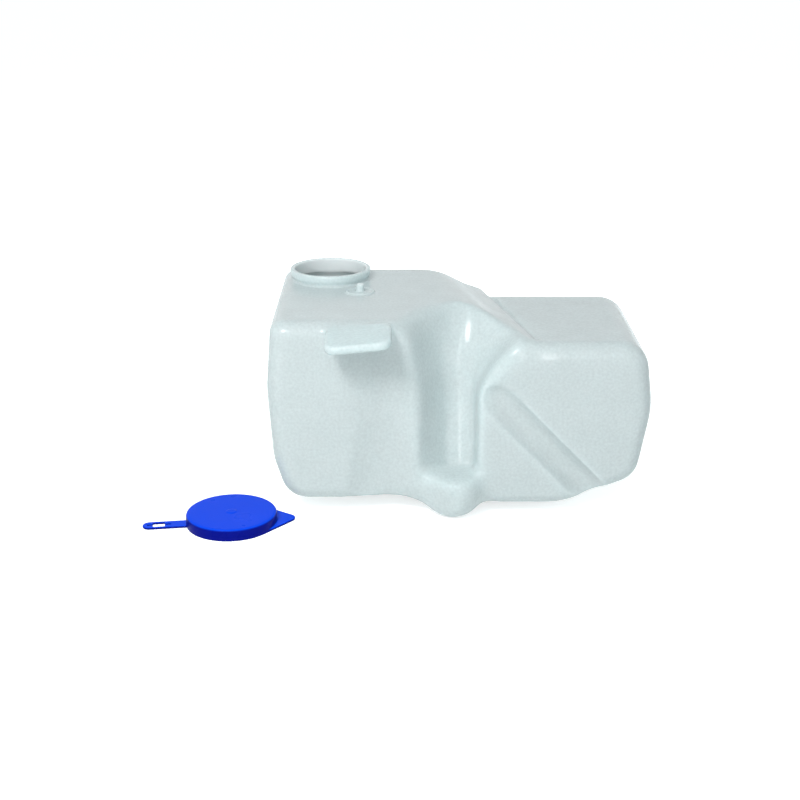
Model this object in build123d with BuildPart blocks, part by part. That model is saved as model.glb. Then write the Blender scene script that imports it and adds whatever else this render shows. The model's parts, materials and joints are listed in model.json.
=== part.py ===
from build123d import *
import os

os.makedirs("parts", exist_ok=True)

# The origin is the middle of the sump's foot, with X to the right and Y to the back
wall = 2.5
rim_round = 12.0

# High side of the tank, under the filler
high_left = 138.0
front = 6.5
high_back = 159.5
high_top = 152.0
high_lift = 13.5
high_waist = 100.0
high_knee = 45.0
high_top_draft = 4.0
high_knee_draft = 3.5
high_foot_draft = 14.0
high_shoulder_round = 10.0
high_side_round = 100.0
high_knee_round = 50.0
high_corner_round = 20.0
high_back_round = 9.0

# Low side, with its swept lower corner
low_left = 2.0
low_right = 147.5
low_back = 143.0
low_top = 136.0
low_lift = 8.5
low_waist = 85.0
low_top_draft = 6.5
low_shoulder_round = 22.0
low_back_round = 20.0
low_side_round = 80.0
sweep_start = 82.0
sweep_end = 138.0
sweep_rise = 22.0
sweep_start_round = 60.0
sweep_end_round = 20.0

# Shoulder that falls from the high side to the crease
crease_front = 65.5
crease_back = 27.5
crease_radius = 2.0
crease_stop = 14.0
shoulder_run = 52.0
shoulder_foot = 1.5
shoulder_start_share = 0.6
shoulder_start_drop = 4.0
shoulder_share = 0.32
shoulder_drop = 11.2
shoulder_slope = 0.45

# Bay for the pump, with the ramp that opens above it
bay_left = 26.5
bay_right = 18.5
bay_back = 12.5
bay_back_left = 4.5
bay_back_right = 16.5
bay_crown = 1.0
bay_lean = 15.0
bay_floor = 34.0
bay_corner = 5.0
bay_crown_round = 20.0
ramp_start = 92.0
ramp_over = 4.0
ramp_run = 50.0
ramp_curve = 1.3
ramp_left_flare = 22.5
ramp_left_run = 11.5
left_flare_curve = 1.4
ramp_edge_flare = 16.0
ramp_right_flare = 52.0
right_flare_curve = 1.8
ramp_steps = 4

# Sump in front of the bay
sump_radius = 22.5
sump_dome = 26.0
foot_radius = 9.0

# Keel that eases the high side's bottom down to the sump
keel_left = 46.0
keel_right = 32.0
keel_flat = 8.0
keel_clear = 1.0
keel_rise = 3.0
keel_inset = 0.5
keel_back = 100.0
keel_back_clear = 5.5
keel_height = 28.0
keel_round = 30.0

# Soft upright valley in the high side's front
valley_from_left = 86.0
valley_width = 56.0
valley_depth = 5.0
valley_top = 128.0

# Slanted groove across the low side's front
groove_start = (30.0, 96.0)
groove_end = (112.0, 12.0)
groove_width = 24.0
groove_depth = 7.5

# Filler neck
neck_from_left = 42.5
neck_from_back = 35.0
neck_bore = 28.5
neck_wall = 2.3
neck_height = 9.0
bead_radius = 32.2
bead_height = 6.0
bead_round = 1.2

# Stud for the cap's strap
stud_from_left = 67.5
stud_from_back = 79.0
stud_radius = 3.0
stud_height = 7.0
seat_radius = 11.0
seat_height = 1.6
seat_rim = 1.4

# Mounting tab under the high side's front edge
tab_from_left = 44.5
tab_width = 48.0
tab_reach = 34.0
tab_thickness = 6.5
tab_corner = 9.0
tab_edge = 2.5
tab_below_top = 4.0
tab_roll = 6.0
tab_droop = 7.0

# Cap, taken off and laid on the floor
cap_x = -165.5
cap_y = -15.5
cap_turn = 8.0
cap_clearance = 0.4
cap_wall = 1.3
cap_height = 9.0
cap_roof = 1.6
cap_edge = 1.5
snap_depth = 0.6
snap_height = 1.8
gate_radius = 3.5
gate_height = 0.4
strap_length = 66.0
strap_width = 10.7
strap_thickness = 1.8
eye_from_end = 12.0
eye_length = 8.7
eye_width = 7.0
slit_length = 18.0
slit_width = 1.6
lug_reach = 47.5
lug_tip = 6.0

# The high side's bottom slopes down to the heel that it stands on, where the back rim starts
depth = front + high_back
back_lift = -high_lift * high_back_round / (depth - high_back_round)
ramp_top = high_top + ramp_over
crease_start = Vector(crease_back, high_back, low_top)
crease_end = Vector(crease_front, -front, low_top)
crease_way = (crease_end - crease_start).normalized()


def high_outline(right, lift):
    # Front view of the high side, whose right edge is where the shoulder meets the crease
    with BuildLine() as outline:
        shoulder = Spline(
            (right - shoulder_run, high_top),
            (right - shoulder_start_share * shoulder_run, high_top - shoulder_start_drop),
            (right - shoulder_share * shoulder_run, high_top - shoulder_drop),
            (right, low_top - shoulder_foot),
            tangents=[(1, 0), (1, -shoulder_slope)],
        )
        edge = Line(shoulder @ 1, (right, lift))
        FilletPolyline(
            edge @ 1,
            (high_foot_draft - high_left, lift),
            (high_knee_draft - high_left, high_knee),
            (-high_left, high_waist),
            (high_top_draft - high_left, high_top),
            shoulder @ 0,
            radius=[high_corner_round, high_knee_round, high_side_round, high_shoulder_round],
        )
    return outline.wire()


def shrink(skin):
    # The inside of the wall has the same outline, one skin further in
    if skin:
        offset(amount=-skin)


def high_side(skin):
    with BuildPart() as block:
        with BuildSketch(Plane.XZ.offset(front - skin)):
            add(high_outline(crease_front, high_lift))
            make_face()
            shrink(skin)
        with BuildSketch(Plane.XZ.offset(skin - high_back)):
            add(high_outline(crease_back, back_lift))
            make_face()
            shrink(skin)
        loft(ruled=True)
        fillet(block.faces().sort_by(Axis.Y)[0].edges(), radius=rim_round - skin)
        fillet(block.faces().sort_by(Axis.Y)[-1].edges(), radius=high_back_round - skin)
    return block.part


def low_side(skin):
    with BuildPart() as block:
        with BuildSketch(Plane.XZ.offset(front - skin)):
            with BuildLine():
                outline = FilletPolyline(
                    (low_left, low_lift),
                    (sweep_start, low_lift),
                    (sweep_end, low_lift + sweep_rise),
                    (low_right, low_waist),
                    (low_right - low_top_draft, low_top),
                    (low_left, low_top),
                    radius=[sweep_start_round, sweep_end_round, low_side_round, low_shoulder_round],
                )
                Line(outline @ 1, outline @ 0)
            make_face()
            shrink(skin)
        extrude(amount=2 * skin - front - low_back)
        fillet(block.faces().sort_by(Axis.Y)[0].edges(), radius=rim_round - skin)
        fillet(block.faces().sort_by(Axis.Y)[-1].edges(), radius=low_back_round - skin)
    return block.part


def keel_outline(middle, skin):
    sides = high_lift + keel_rise
    with BuildLine() as outline:
        bottom = FilletPolyline(
            (-keel_left, sides + skin),
            (-keel_flat, middle + skin),
            (keel_flat, middle + skin),
            (keel_right, sides + skin),
            radius=keel_round - skin,
        )
        Polyline(bottom @ 1, (keel_right, keel_height), (-keel_left, keel_height), bottom @ 0)
    return outline.wire()


def keel(skin):
    with BuildPart() as block:
        with BuildSketch(Plane.XZ.offset(front - keel_inset - skin)):
            add(keel_outline(keel_clear, skin))
            make_face()
        with BuildSketch(Plane.XZ.offset(-keel_back)):
            add(keel_outline(keel_back_clear, skin))
            make_face()
        loft(ruled=True)
        nose = block.faces().sort_by(Axis.Y)[0]
        lowest = nose.edges().filter_by(lambda edge: edge.center().Z < high_lift + skin)
        fillet(lowest, radius=rim_round - skin)
    return block.part


def sump(skin):
    # A round well with a domed bottom and a small flat foot
    radius = sump_radius - skin
    dome = sump_dome - skin
    foot_drop = (dome**2 - foot_radius**2) ** 0.5
    dome_rise = foot_drop - (dome**2 - radius**2) ** 0.5
    with BuildPart() as well:
        with BuildSketch(Plane.XZ):
            with BuildLine():
                bottom = Line((0, skin), (foot_radius, skin))
                bowl = RadiusArc(bottom @ 1, (radius, skin + dome_rise), -dome)
                side = Line(bowl @ 1, (radius, bay_floor - skin))
                roof = Line(side @ 1, (0, bay_floor - skin))
                Line(roof @ 1, bottom @ 0)
            make_face()
        revolve(axis=Axis.Z)
    return well.part


def bay_outline(rise, back):
    # Plan of the bay at a share of the ramp's height, running out past the front
    mouth_left = Vector(-bay_left - ramp_edge_flare * rise**2, -front)
    mouth_right = Vector(bay_right + ramp_right_flare * rise**right_flare_curve, -front)
    left = Vector(-bay_back_left - ramp_left_flare * rise**left_flare_curve, back + ramp_left_run * rise)
    middle = Vector((bay_back_right - bay_back_left) / 2, back + bay_crown + ramp_run * rise**ramp_curve)
    right = Vector(bay_back_right + ramp_right_flare * rise**right_flare_curve, back)
    with BuildLine() as outline:
        walls = FilletPolyline(
            mouth_left * 2 - left,
            left,
            middle,
            right,
            mouth_right * 2 - right,
            radius=[bay_corner, bay_crown_round, bay_corner],
        )
        Line(walls @ 1, walls @ 0)
    return outline.wire()


def bay(skin):
    # The back leans away from the floor up, and then opens into the ramp
    with BuildPart() as space:
        with BuildSketch(Plane.XY.offset(bay_floor - skin)):
            add(bay_outline(0, bay_back))
            make_face()
            shrink(-skin)
        with BuildSketch(Plane.XY.offset(ramp_start - skin)):
            add(bay_outline(0, bay_back + bay_lean))
            make_face()
            shrink(-skin)
        loft(ruled=True)
        for step in range(ramp_steps + 1):
            rise = step / ramp_steps
            height = ramp_start + rise * (ramp_top - ramp_start)
            with BuildSketch(Plane.XY.offset(height - skin)):
                add(bay_outline(rise, bay_back + bay_lean * (1 - rise)))
                make_face()
                shrink(-skin)
        loft()
    return space.part


def valley(skin):
    # A leaning cylinder that only grazes the front, and runs out at the valley's top
    radius = (valley_width**2 / 4 + valley_depth**2) / (2 * valley_depth)
    base = Vector(valley_from_left - high_left, -front - radius + valley_depth, high_lift)
    top = Vector(valley_from_left - high_left, -front - radius, valley_top)
    with BuildPart() as space:
        with BuildSketch(Plane(origin=base, x_dir=(1, 0, 0), z_dir=top - base)):
            Circle(radius + skin)
        extrude(amount=high_top, both=True)
    return space.part


def groove(skin):
    radius = (groove_width**2 / 4 + groove_depth**2) / (2 * groove_depth)
    axis_y = -front - radius + groove_depth
    start = Vector(groove_start[0], axis_y, groove_start[1])
    end = Vector(groove_end[0], axis_y, groove_end[1])
    with BuildPart() as space:
        with BuildSketch(Plane(origin=start, x_dir=(0, 1, 0), z_dir=end - start)):
            Circle(radius + skin)
        extrude(amount=(end - start).length + groove_width)
        with Locations(start):
            Sphere(radius + skin)
    return space.part


def crease(skin):
    length = (crease_end - crease_start).length - crease_stop
    with BuildPart() as space:
        with BuildSketch(Plane(origin=crease_start, x_dir=(0, 0, 1), z_dir=crease_way)):
            Circle(crease_radius + skin)
        extrude(amount=length)
        with Locations(crease_start + crease_way * length):
            Sphere(crease_radius + skin)
    return space.part


def tank_form(skin):
    with BuildPart() as form:
        add(high_side(skin))
        add(low_side(skin))
        add(keel(skin))
        add(sump(skin))
        add(valley(skin), mode=Mode.SUBTRACT)
        add(groove(skin), mode=Mode.SUBTRACT)
        add(crease(skin), mode=Mode.SUBTRACT)
        add(bay(skin), mode=Mode.SUBTRACT)
    return form.part


outside = tank_form(0)
inside = tank_form(wall)

neck_x = neck_from_left - high_left
neck_y = high_back - neck_from_back
rim_z = high_top + neck_height
stud_x = stud_from_left - high_left
stud_y = high_back - stud_from_back
tab_x = tab_from_left - high_left
tab_plane = Plane(origin=(tab_x, -front, high_top - tab_below_top)).rotated((tab_droop, -tab_roll, 0))

# Tab, whose root lies in the tank's wall
with BuildPart() as tab:
    with BuildSketch(tab_plane):
        with BuildLine():
            shelf = FilletPolyline(
                (0, 2 * wall),
                (0, -tab_reach),
                (tab_width, -tab_reach),
                (tab_width, 2 * wall),
                radius=tab_corner,
            )
            Line(shelf @ 1, shelf @ 0)
        make_face()
    extrude(amount=-tab_thickness)
    root = tab.faces().sort_by(Axis.Y)[-1]
    sides = tab.edges().filter_by(lambda edge: abs(edge.tangent_at(0.5).dot(tab_plane.z_dir)) < 0.5)
    fillet(sides - root.edges(), radius=tab_edge)

# Tank with its neck, stud and tab, blown as one piece
with BuildPart() as reservoir:
    add(outside)
    add(tab.part)
    with BuildSketch(Plane(origin=(neck_x, neck_y, 0), x_dir=(1, 0, 0), z_dir=(0, -1, 0))):
        with BuildLine():
            collar = FilletPolyline(
                (neck_bore, high_top - rim_round),
                (neck_bore + neck_wall, high_top - rim_round),
                (neck_bore + neck_wall, rim_z - bead_height),
                (bead_radius, rim_z - bead_height),
                (bead_radius, rim_z),
                (neck_bore, rim_z),
                radius=[0, 0, bead_round, bead_round],
            )
            Line(collar @ 1, collar @ 0)
        make_face()
    revolve(axis=Axis((neck_x, neck_y, 0), (0, 0, 1)))
    add(inside, mode=Mode.SUBTRACT)
    with BuildSketch(Plane.XY.offset(rim_z)):
        with Locations((neck_x, neck_y)):
            Circle(neck_bore)
    extrude(amount=-rim_round - neck_height, mode=Mode.SUBTRACT)
    with BuildSketch(Plane.XY.offset(high_top - wall / 2)):
        with Locations((stud_x, stud_y)):
            Circle(seat_radius)
    extrude(amount=wall / 2 + seat_height)
    with BuildSketch(Plane.XY.offset(high_top + seat_height)):
        with Locations((stud_x, stud_y)):
            Circle(seat_radius - seat_rim)
            Circle(stud_radius, mode=Mode.SUBTRACT)
    extrude(amount=-seat_height / 2, mode=Mode.SUBTRACT)
    with BuildSketch(Plane.XY.offset(high_top)):
        with Locations((stud_x, stud_y)):
            Circle(stud_radius)
    extrude(amount=stud_height)

reservoir.part.label = "reservoir"
export_step(reservoir.part, "parts/reservoir.step")

cap_bore = bead_radius + cap_clearance
cap_radius = cap_bore + cap_wall
cap_ceiling = cap_height - cap_roof
cap_plane = Plane(origin=(cap_x, cap_y, 0)).rotated((0, 0, cap_turn))
cap_section = Plane(origin=(cap_x, cap_y, 0), x_dir=cap_plane.x_dir, z_dir=-cap_plane.y_dir)

# Snap-over cap with its strap and finger lug, moulded as one piece
with BuildPart() as cap:
    with BuildSketch(cap_section):
        with BuildLine():
            skirt_inside = Polyline(
                (cap_bore, 0),
                (cap_bore - snap_depth, snap_height / 2),
                (cap_bore, snap_height),
                (cap_bore, cap_ceiling),
                (0, cap_ceiling),
            )
            skirt_outside = FilletPolyline(
                (0, cap_height),
                (cap_radius, cap_height),
                (cap_radius, 0),
                radius=cap_edge,
            )
            Line(skirt_inside @ 1, skirt_outside @ 0)
            Line(skirt_outside @ 1, skirt_inside @ 0)
        make_face()
    revolve(axis=Axis((cap_x, cap_y, 0), (0, 0, 1)))
    with BuildSketch(cap_plane.offset(cap_height)):
        Circle(gate_radius)
    extrude(amount=gate_height)
    with BuildSketch(cap_plane):
        Circle(cap_radius)
        with Locations((lug_reach - lug_tip, 0)):
            Circle(lug_tip)
        make_hull()
        with Locations((-strap_length / 2, 0)):
            Rectangle(strap_length - strap_width, strap_width)
        with Locations((strap_width / 2 - strap_length, 0)):
            Circle(strap_width / 2)
        Circle(cap_bore + cap_wall / 2, mode=Mode.SUBTRACT)
        with Locations((eye_from_end - strap_length, 0)):
            Rectangle(eye_length, eye_width, mode=Mode.SUBTRACT)
            SlotOverall(slit_length, slit_width, mode=Mode.SUBTRACT)
    extrude(amount=strap_thickness)

cap.part.label = "cap"
export_step(cap.part, "parts/cap.step")
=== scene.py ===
import json
import math

import bpy
import numpy as np
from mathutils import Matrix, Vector


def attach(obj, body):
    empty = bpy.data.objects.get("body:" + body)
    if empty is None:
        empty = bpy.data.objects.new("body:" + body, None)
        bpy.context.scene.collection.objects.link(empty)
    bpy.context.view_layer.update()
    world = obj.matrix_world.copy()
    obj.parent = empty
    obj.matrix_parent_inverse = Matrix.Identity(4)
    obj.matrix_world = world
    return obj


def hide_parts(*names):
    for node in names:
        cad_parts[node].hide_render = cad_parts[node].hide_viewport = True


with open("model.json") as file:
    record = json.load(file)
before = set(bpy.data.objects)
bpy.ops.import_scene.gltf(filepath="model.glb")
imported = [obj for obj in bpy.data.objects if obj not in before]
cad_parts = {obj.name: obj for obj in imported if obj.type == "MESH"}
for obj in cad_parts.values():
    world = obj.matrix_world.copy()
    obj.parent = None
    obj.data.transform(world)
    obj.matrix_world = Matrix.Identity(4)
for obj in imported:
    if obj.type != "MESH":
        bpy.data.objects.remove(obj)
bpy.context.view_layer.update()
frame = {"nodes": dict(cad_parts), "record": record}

print("frame loaded")

mounts = {mount["name"]: Vector(mount["pos_m"]) for mount in frame["record"]["mounts"]}
neckTop = mounts["neck_bead"]
studTop = mounts["strap_stud"]


def deselectAll():
    bpy.ops.object.select_all(action="DESELECT")


def makeActive(piece):
    deselectAll()
    piece.select_set(True)
    bpy.context.view_layer.objects.active = piece


def copyOfNode(nodeName, pieceName):
    # a joined-up copy of a frame node, whose own mesh is loose triangles
    mesh = frame["nodes"][nodeName].data.copy()
    mesh.name = pieceName
    mesh.materials.clear()
    piece = bpy.data.objects.new(pieceName, mesh)
    bpy.context.scene.collection.objects.link(piece)
    makeActive(piece)
    bpy.ops.object.mode_set(mode="EDIT")
    bpy.ops.mesh.select_all(action="SELECT")
    bpy.ops.mesh.remove_doubles(threshold=0.000002)
    bpy.ops.object.mode_set(mode="OBJECT")
    return piece


def applyModifier(piece, kind, **settings):
    modifier = piece.modifiers.new(kind.title(), kind)
    for name, value in settings.items():
        setattr(modifier, name, value)
    bpy.context.view_layer.objects.active = piece
    bpy.ops.object.modifier_apply(modifier=modifier.name)


def pointsOf(piece):
    points = np.zeros(len(piece.data.vertices) * 3, np.float32)
    piece.data.vertices.foreach_get("co", points)
    return points.reshape(-1, 3)


def easedStep(values, start, end):
    share = np.clip((values - start) / (end - start), 0, 1)
    return share * share * (3 - 2 * share)


def within(values, low, high, fade):
    return easedStep(values, low - fade, low) * (1 - easedStep(values, high, high + fade))


def weightGroup(piece, groupName, weights, levels=10):
    # vertex weights, set in a few steps of equal weight
    group = piece.vertex_groups.new(name=groupName)
    steps = np.rint(weights * levels).astype(int)
    for step in range(1, levels + 1):
        chosen = np.nonzero(steps == step)[0]
        if len(chosen):
            group.add(chosen.tolist(), step / levels, "REPLACE")


def easeEdges(piece, voxel, rounding, groupName):
    # repeated smoothing spreads a corner over about voxel * sqrt(passes / 4)
    passes = max(1, round(4 * (rounding / voxel) ** 2))
    applyModifier(piece, "SMOOTH", factor=0.5, iterations=passes, vertex_group=groupName)


def thin(piece, mostTriangles):
    triangles = sum(len(face.vertices) - 2 for face in piece.data.polygons)
    if triangles > mostTriangles:
        applyModifier(piece, "DECIMATE", ratio=mostTriangles / triangles)


def smoothShade(piece):
    # smooth, with large flat faces leading the normals beside them
    makeActive(piece)
    bpy.ops.object.shade_smooth()
    applyModifier(piece, "WEIGHTED_NORMAL", mode="FACE_AREA", weight=50, keep_sharp=False)


# The tank, blown in one piece with its neck, stud and tab. All lengths are in metres.
tank = {
    "voxel": 0.00105,
    "quickVoxel": 0.0015,
    "mostTriangles": 190000,
    "detailRounding": 0.0006,  # how far edges are eased
    "plainRounding": 0.0024,
    "creaseRounding": 0.0030,
    "tabRootRounding": 0.0036,
    "hollowRounding": 0.0060,
    "mouthRounding": 0.0048,
    "rampRounding": 0.0095,
    "sumpRounding": 0.0085,
    "neckRounding": 0.0011,
    "valleyDepth": 0.0025,  # how much the blown hollows settle
    "grooveDepth": 0.0025,
    "settleLevels": 60,
}

farAway = 1.0  # past every end of the tank

# from the middle outward: where a round zone starts to fade, and where it ends
tankRounds = {
    "neck": (0.033, 0.040),
    "stud": (0.012, 0.016),
    "grooveStart": (0.012, 0.026),
}

# low end, high end and fade beyond both
tankSpans = {
    "leftMouthX": (-0.034, -0.019, 0.005),
    "rightMouthX": (0.013, 0.027, 0.005),
    "mouthY": (-farAway, 0.002, 0.010),
    "mouthZ": (0.042, 0.100, 0.010),
    "rampX": (-0.034, 0.062, 0.014),
    "rampY": (-farAway, 0.030, 0.030),
    "rampZ": (0.0, 0.068, 0.012),  # from the ramp's foot
    "sumpX": (-0.050, 0.026, 0.012),
    "sumpY": (-farAway, 0.000, 0.016),
    "sumpZ": (-farAway, 0.036, 0.010),
    "tabRootX": (-0.088, -0.036, 0.004),
    "tabRootY": (-0.0075, 0.006, 0.003),
    "creaseLine": (-0.009, 0.0005, 0.003),  # across the crease
    "creaseRim": (0.002, 0.009, 0.003),
    "creaseY": (0.016, farAway, 0.010),
    "settleY": (-farAway, 0.020, 0.025),
    "valleyX": (-0.062, -0.054, 0.026),
    "valleyZ": (-farAway, 0.040, 0.085),
    "grooveAcross": (-0.003, 0.003, 0.010),
    "grooveAlong": (0.100, farAway, 0.070),
}

# lowest z of what belongs to the top and its fittings
tankFloors = {"neck": 0.12, "stud": 0.14, "tab": 0.13, "tabRoot": 0.128, "crease": 0.12}

tabRight = -0.035
tabTip = (0.0075, 0.013)  # in front of the wall, where the tab's own zone fades in
grooveStart = Vector((0.030, 0.096))  # x and z
grooveWay = Vector((0.082, -0.084))
grooveLength = 0.1174
hollowBack = 0.03  # the groove's start is eased in front of this y
creasePoint = Vector((0.0655, -0.0065))  # x and y
creaseSlope = 0.229
creaseScale = 0.975  # cosine of the crease's angle
rampFoot = {"left": 0.082, "rise": 0.030, "fromX": 0.008, "toX": 0.020}


def span(values, name):
    return within(values, *tankSpans[name])


def nearMiddle(firsts, seconds, middle, name):
    return 1 - easedStep(np.hypot(firsts - middle[0], seconds - middle[1]), *tankRounds[name])


def detailWeights(x, y, z):
    # the neck, the stud and the tab
    neck = nearMiddle(x, y, neckTop, "neck") * (z > tankFloors["neck"])
    stud = nearMiddle(x, y, studTop, "stud") * (z > tankFloors["stud"])
    tab = easedStep(-y, *tabTip) * (z > tankFloors["tab"]) * (x < tabRight)
    return neck, np.maximum(np.maximum(neck, stud), tab)


def tankZones(points):
    # where the tank keeps its small details, and where it was blown softest
    x, y, z = points.T
    neck, details = detailWeights(x, y, z)
    fromCrease = (x - creasePoint.x + (y - creasePoint.y) * creaseSlope) * creaseScale
    alongCrease = (z > tankFloors["crease"]) * span(y, "creaseY") * (1 - details)
    crease = span(fromCrease, "creaseLine") * alongCrease
    plain = (1 - details) * (1 - crease)
    hollow = nearMiddle(x, z, grooveStart, "grooveStart") * (y < hollowBack)
    mouth = (span(x, "leftMouthX") + span(x, "rightMouthX")) * span(z, "mouthZ") * span(y, "mouthY")
    foot = rampFoot["left"] + rampFoot["rise"] * easedStep(x, rampFoot["fromX"], rampFoot["toX"])
    return {
        "detail": np.ones(len(points)),
        "plain": plain,
        "crease": span(fromCrease, "creaseRim") * alongCrease,
        "tabRoot": span(x, "tabRootX") * span(y, "tabRootY") * (z > tankFloors["tabRoot"]),
        "hollow": hollow * plain,
        "mouth": mouth,
        "ramp": span(x, "rampX") * span(z - foot, "rampZ") * span(y, "rampY") * plain,
        "sump": span(x, "sumpX") * span(z, "sumpZ") * span(y, "sumpY") * plain,
        "crisp": np.maximum(details, crease),
        "neck": neck,
    }


def settleHollows(piece):
    # the valley and the groove's low end lie a little deeper between their edges
    x, y, z = pointsOf(piece).T
    valley = span(x, "valleyX") * span(z, "valleyZ") * span(y, "settleY")
    fromX = x - grooveStart.x
    fromZ = z - grooveStart.y
    along = (fromX * grooveWay.x + fromZ * grooveWay.y) / grooveLength
    across = (fromZ * grooveWay.x - fromX * grooveWay.y) / grooveLength
    groove = span(across, "grooveAcross") * span(along, "grooveAlong") * span(y, "settleY")
    for name, weights in (("valley", valley), ("groove", groove)):
        weightGroup(piece, name, weights, tank["settleLevels"])
        depth = tank[name + "Depth"]
        applyModifier(piece, "DISPLACE", direction="Y", strength=depth, mid_level=0, vertex_group=name)


def makeTank():
    voxel = tank["voxel"]
    piece = copyOfNode("reservoir", "tank")
    applyModifier(piece, "REMESH", mode="VOXEL", voxel_size=voxel)
    print("tank remeshed", len(piece.data.vertices))
    settleHollows(piece)
    for zone, weights in tankZones(pointsOf(piece)).items():
        weightGroup(piece, zone, weights)
        if zone == "crisp":
            cadNode = frame["nodes"]["reservoir"]
            applyModifier(piece, "SHRINKWRAP", target=cadNode, vertex_group=zone)
            easeEdges(piece, voxel, voxel / 2, zone)
        else:
            easeEdges(piece, voxel, tank[zone + "Rounding"], zone)
    piece.vertex_groups.clear()
    thin(piece, tank["mostTriangles"])
    smoothShade(piece)
    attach(piece, "root")
    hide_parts("reservoir")
    return piece


# The cap, moulded in one piece with its strap and finger lug
capLook = {
    "voxel": 0.0004,
    "quickVoxel": 0.0007,
    "mostTriangles": 195000,
    "middle": (-0.1655, -0.0155),
    "rounding": 0.0004,
    "rimRounding": 0.0014,
    "rimFromMiddle": (0.0285, 0.0310),  # where the rim's zone fades in, outward
    "rimFromFloor": (0.0035, 0.0060),  # and upward
}


def rimWeights(points):
    x, y, z = points.T
    fromMiddle = np.hypot(x - capLook["middle"][0], y - capLook["middle"][1])
    return easedStep(fromMiddle, *capLook["rimFromMiddle"]) * easedStep(z, *capLook["rimFromFloor"])


def makeCap():
    voxel = capLook["voxel"]
    piece = copyOfNode("cap", "filler_cap")
    applyModifier(piece, "REMESH", mode="VOXEL", voxel_size=voxel)
    weightGroup(piece, "all", np.ones(len(piece.data.vertices)))
    easeEdges(piece, voxel, capLook["rounding"], "all")
    weightGroup(piece, "rim", rimWeights(pointsOf(piece)))
    easeEdges(piece, voxel, capLook["rimRounding"], "rim")
    piece.vertex_groups.clear()
    thin(piece, capLook["mostTriangles"])
    smoothShade(piece)
    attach(piece, "root")
    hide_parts("cap")
    return piece


# Materials, and the small node helpers that they share
def newMaterial(name):
    material = bpy.data.materials.new(name)
    material.use_nodes = True
    return material, material.node_tree.nodes, material.node_tree.links


def feed(tree, socket, value):
    # a socket takes another node's output, or a plain value
    if isinstance(value, bpy.types.NodeSocket):
        tree.links.new(value, socket)
    else:
        socket.default_value = value


def addMath(tree, operation, *values):
    node = tree.nodes.new("ShaderNodeMath")
    node.operation = operation
    for place, value in enumerate(values):
        feed(tree, node.inputs[place], value)
    return node.outputs[0]


def addVectorMath(tree, operation, *values):
    node = tree.nodes.new("ShaderNodeVectorMath")
    node.operation = operation
    for place, value in enumerate(values):
        feed(tree, node.inputs[place], value)
    return node.outputs


def mixColours(tree, share, first, second):
    mix = tree.nodes.new("ShaderNodeMix")
    mix.data_type = "RGBA"
    for name, value in (("Factor", share), ("A", first), ("B", second)):
        feed(tree, mix.inputs[name], value)
    return mix.outputs["Result"]


def addRange(tree, value, start, end, kind="LINEAR"):
    # 0 at start and 1 at end
    step = tree.nodes.new("ShaderNodeMapRange")
    step.interpolation_type = kind
    step.inputs["From Min"].default_value = start
    step.inputs["From Max"].default_value = end
    tree.links.new(value, step.inputs["Value"])
    return step.outputs["Result"]


def upwardPart(tree, vector):
    parts = tree.nodes.new("ShaderNodeSeparateXYZ")
    tree.links.new(vector, parts.inputs[0])
    return parts.outputs["Z"]


grainDetail = {"Patch": 2.0, "Grain": 3.0}
roughnessSpread = 0.2


def plasticGrainGroup():
    # mottled tone and fine grain of moulded plastic, on the piece's own coordinates
    tree = bpy.data.node_groups.new("plasticGrain", "ShaderNodeTree")
    for name in ("Patch Scale", "Grain Scale", "Patch Amount", "Grain Amount", "Roughness"):
        tree.interface.new_socket(name=name, in_out="INPUT", socket_type="NodeSocketFloat")
    for name in ("Tone", "Roughness", "Height"):
        tree.interface.new_socket(name=name, in_out="OUTPUT", socket_type="NodeSocketFloat")
    nodes, links = tree.nodes, tree.links
    given = nodes.new("NodeGroupInput").outputs
    out = nodes.new("NodeGroupOutput")
    place = nodes.new("ShaderNodeTexCoord")
    noises = {}
    for name, detail in grainDetail.items():
        noise = nodes.new("ShaderNodeTexNoise")
        noise.inputs["Detail"].default_value = detail
        links.new(place.outputs["Object"], noise.inputs["Vector"])
        links.new(given[name + " Scale"], noise.inputs["Scale"])
        noises[name] = addMath(tree, "SUBTRACT", noise.outputs["Fac"], 0.5)
    patchTone = addMath(tree, "MULTIPLY_ADD", noises["Patch"], given["Patch Amount"], 0.5)
    tone = addMath(tree, "MULTIPLY_ADD", noises["Grain"], given["Grain Amount"], patchTone)
    rough = addMath(tree, "MULTIPLY_ADD", noises["Patch"], roughnessSpread, given["Roughness"])
    links.new(tone, out.inputs["Tone"])
    links.new(rough, out.inputs["Roughness"])
    links.new(noises["Grain"], out.inputs["Height"])
    return tree


plasticGrain = plasticGrainGroup()
paintedShadeTilt = (0.25, 0.85)  # upward part of the normal, from a wall's painted shade to the top's colour

# where light is painted inside the neck: facing the axis, close to it, and high up
paintedLightZone = {
    "facing": (-0.003, -0.012),
    "fromAxis": (0.044, 0.034),
    "height": (0.095, 0.140),
}


def paintShadeOnSides(tree, colour, paintedSideShade):
    # painted shade: upright walls get a darker colour than what faces up, standing in for shade on the
    # sides
    facing = tree.nodes.new("ShaderNodeNewGeometry")
    share = addRange(tree, upwardPart(tree, facing.outputs["Normal"]), *paintedShadeTilt)
    return mixColours(tree, share, paintedSideShade, colour)


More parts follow.
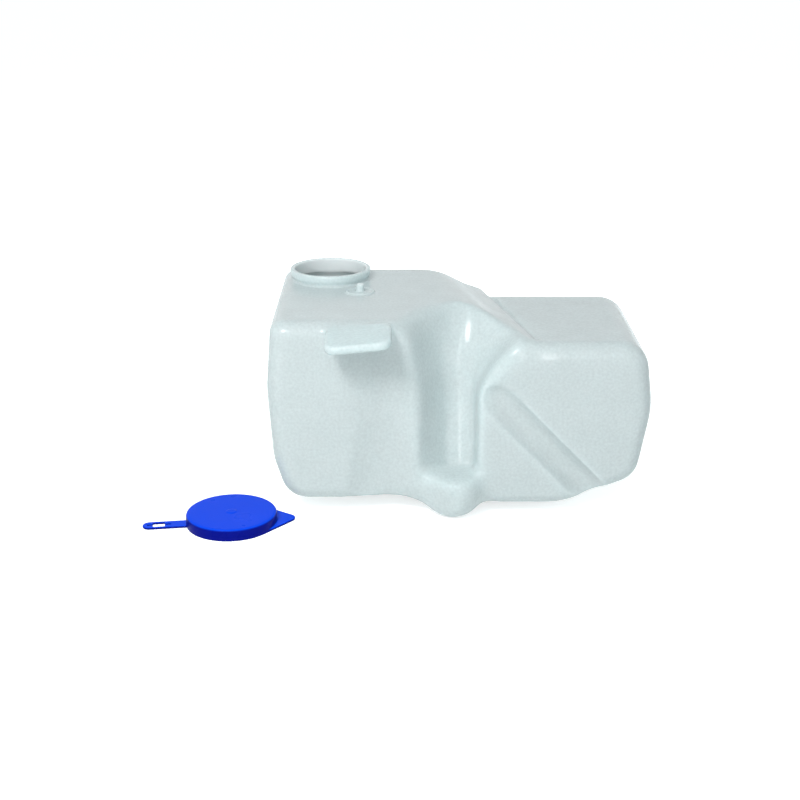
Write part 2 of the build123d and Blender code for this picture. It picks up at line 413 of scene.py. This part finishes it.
def paintLightInNeck(tree, colour, paintedNeckLight):
    # painted light: inside the neck the colour is paler, standing in for light that comes through the
    # thin wall
    place = tree.nodes.new("ShaderNodeTexCoord").outputs["Object"]
    normal = tree.nodes.new("ShaderNodeNewGeometry").outputs["Normal"]
    outward = addVectorMath(tree, "SUBTRACT", place, (neckTop.x, neckTop.y, 0))["Vector"]
    flat = addVectorMath(tree, "MULTIPLY", outward, (1, 1, 0))["Vector"]
    fromAxis = addVectorMath(tree, "LENGTH", flat)["Value"]
    facing = addVectorMath(tree, "DOT_PRODUCT", flat, normal)["Value"]
    inward = addRange(tree, facing, *paintedLightZone["facing"], "SMOOTHSTEP")
    near = addRange(tree, fromAxis, *paintedLightZone["fromAxis"], "SMOOTHSTEP")
    high = addRange(tree, upwardPart(tree, place), *paintedLightZone["height"], "SMOOTHSTEP")
    share = addMath(tree, "MULTIPLY", addMath(tree, "MULTIPLY", inward, near), high)
    return mixColours(tree, share, colour, paintedNeckLight)


def mouldedPlastic(name, look):
    # one plastic: two tones mixed by the grain group, with its height as a slight bump
    material, nodes, links = newMaterial(name)
    tree = material.node_tree
    shader = nodes["Principled BSDF"]
    grain = nodes.new("ShaderNodeGroup")
    grain.node_tree = plasticGrain
    for socket, value in look["grain"].items():
        grain.inputs[socket].default_value = value
    colour = mixColours(tree, grain.outputs["Tone"], look["dark"], look["light"])
    # painted shade on upright walls, where the look gives a colour for it
    if "side" in look:
        colour = paintShadeOnSides(tree, colour, look["side"])
    # painted light inside the neck, where the look gives a colour for it
    if "inside" in look:
        colour = paintLightInNeck(tree, colour, look["inside"])
    links.new(colour, shader.inputs["Base Color"])
    links.new(grain.outputs["Roughness"], shader.inputs["Roughness"])
    bump = nodes.new("ShaderNodeBump")
    bump.inputs["Strength"].default_value = look["bump"]
    bump.inputs["Distance"].default_value = look["bumpDepth"]
    links.new(grain.outputs["Height"], bump.inputs["Height"])
    links.new(bump.outputs["Normal"], shader.inputs["Normal"])
    for socket, value in look["shader"].items():
        shader.inputs[socket].default_value = value
    return material


tankPlastic = {
    "dark": (0.54, 0.61, 0.615, 1),
    "light": (0.75, 0.84, 0.845, 1),
    # painted light: a paler colour for the inside of the neck
    "inside": (0.89, 0.985, 0.99, 1),
    "grain": {
        "Patch Scale": 45.0,
        "Grain Scale": 480.0,
        "Patch Amount": 0.25,
        "Grain Amount": 0.9,
        "Roughness": 0.20,
    },
    "bump": 0.06,
    "bumpDepth": 0.0002,
    "shader": {
        "IOR": 1.52,
        "Specular IOR Level": 0.32,
        "Subsurface Weight": 0.7,
        "Subsurface Radius": (0.9, 1.0, 1.0),
        "Subsurface Scale": 0.009,
    },
}

capPlastic = {
    "dark": (0.002, 0.055, 0.80, 1),
    "light": (0.004, 0.090, 0.99, 1),
    # painted shade: a dark blue for the cap's upright walls, standing in for shade on the skirt
    "side": (0.002, 0.006, 0.25, 1),
    "grain": {
        "Patch Scale": 70.0,
        "Grain Scale": 1100.0,
        "Patch Amount": 0.15,
        "Grain Amount": 0.35,
        "Roughness": 0.3,
    },
    "bump": 0.1,
    "bumpDepth": 0.0002,
    "shader": {"IOR": 1.48, "Specular IOR Level": 0.04},
}

# The studio: a pale floor, a white surround, a soft key, a long strip and a fill behind
studio = {
    "floorSize": 24.0,
    "floorColour": (0.86, 0.87, 0.87, 1),
    "floorRoughness": 0.9,
    "floorShine": 0.1,
    "floorGlow": 0.62,
    "skyColour": (0.82, 0.97, 1.0, 1),
    "zenithStrength": 0.45,
    "horizonStrength": 0.38,
    "lampAim": (0, 0.05, 0.06),
    "keyPower": 9.2,
    "keyFrom": (-0.46, -0.82, 1.00),
    "keySize": (0.32, 0.32),
    "stripPower": 5.2,
    "stripFrom": (0.08, -1.50, 0.66),
    "stripSize": (0.09, 1.20),
    "backPower": 4.6,
    "backFrom": (0.60, 1.35, 0.27),
    "backSize": (1.2, 0.5),
}

cameraPlace = {
    "at": (-0.0395, -0.9725, 0.440),
    "downDegrees": 19.7,
    "lens": 63.0,
    "sensor": 36.0,
}

white = (1, 1, 1, 1)


def seenDirectly(tree):
    # 1 for what the camera, gloss and clear parts see, 0 for what lights the object
    ray = tree.nodes.new("ShaderNodeLightPath")
    seen = addMath(tree, "MAXIMUM", ray.outputs["Is Camera Ray"], ray.outputs["Is Glossy Ray"])
    return addMath(tree, "MAXIMUM", seen, ray.outputs["Is Transmission Ray"])


def makeWorld():
    world = bpy.data.worlds.new("studioWorld")
    bpy.context.scene.world = world
    world.use_nodes = True
    tree = world.node_tree
    ambient = tree.nodes["Background"]
    ambient.inputs["Color"].default_value = studio["skyColour"]
    place = tree.nodes.new("ShaderNodeTexCoord")
    strength = tree.nodes.new("ShaderNodeMapRange")
    strength.inputs["To Min"].default_value = studio["horizonStrength"]
    strength.inputs["To Max"].default_value = studio["zenithStrength"]
    tree.links.new(upwardPart(tree, place.outputs["Generated"]), strength.inputs["Value"])
    tree.links.new(strength.outputs["Result"], ambient.inputs["Strength"])
    plain = tree.nodes.new("ShaderNodeBackground")
    plain.inputs["Color"].default_value = white
    mix = tree.nodes.new("ShaderNodeMixShader")
    tree.links.new(seenDirectly(tree), mix.inputs["Fac"])
    tree.links.new(ambient.outputs[0], mix.inputs[1])
    tree.links.new(plain.outputs[0], mix.inputs[2])
    tree.links.new(mix.outputs[0], tree.nodes["World Output"].inputs["Surface"])


def makeFloor():
    deselectAll()
    bpy.ops.mesh.primitive_plane_add(size=studio["floorSize"], location=(0, 0, 0))
    floor = bpy.context.object
    floor.name = "floor"
    material, nodes, links = newMaterial("floorWhite")
    tree = material.node_tree
    shader = nodes["Principled BSDF"]
    shader.inputs["Roughness"].default_value = studio["floorRoughness"]
    shader.inputs["Specular IOR Level"].default_value = studio["floorShine"]
    ray = nodes.new("ShaderNodeLightPath")
    colour = mixColours(tree, ray.outputs["Is Camera Ray"], studio["floorColour"], white)
    links.new(colour, shader.inputs["Base Color"])
    glow = addMath(tree, "MULTIPLY", seenDirectly(tree), studio["floorGlow"])
    shader.inputs["Emission Color"].default_value = white
    links.new(glow, shader.inputs["Emission Strength"])
    floor.data.materials.append(material)


def addLamp(name):
    lamp = bpy.data.lights.new(name + "Lamp", "AREA")
    lamp.shape = "RECTANGLE"
    lamp.size, lamp.size_y = studio[name + "Size"]
    lamp.energy = studio[name + "Power"]
    holder = bpy.data.objects.new(name + "Lamp", lamp)
    bpy.context.scene.collection.objects.link(holder)
    holder.location = studio[name + "From"]
    holder.visible_camera = False
    aim = Vector(studio["lampAim"]) - Vector(studio[name + "From"])
    holder.rotation_euler = aim.to_track_quat("-Z", "Y").to_euler()
    return holder


def makeCamera():
    camera = bpy.data.cameras.new("camera")
    camera.lens = cameraPlace["lens"]
    camera.sensor_width = cameraPlace["sensor"]
    holder = bpy.data.objects.new("camera", camera)
    bpy.context.scene.collection.objects.link(holder)
    holder.location = cameraPlace["at"]
    holder.rotation_euler = (math.radians(90 - cameraPlace["downDegrees"]), 0, 0)
    bpy.context.scene.camera = holder


makeCamera()
makeWorld()
makeFloor()
addLamp("key")
addLamp("strip")
backLamp = addLamp("back")
backLamp.visible_glossy = False  # a soft fill, with no glare along the top
bpy.context.scene.view_settings.view_transform = "Standard"
print("studio ready")

tankPiece = makeTank()
tankPiece.data.materials.append(mouldedPlastic("tankPlastic", tankPlastic))
print("tank ready", len(tankPiece.data.polygons))

capPiece = makeCap()
capPiece.data.materials.append(mouldedPlastic("capPlastic", capPlastic))
capPiece.visible_diffuse = False  # keeps its blue off the tank beside it
print("cap ready", len(capPiece.data.polygons))
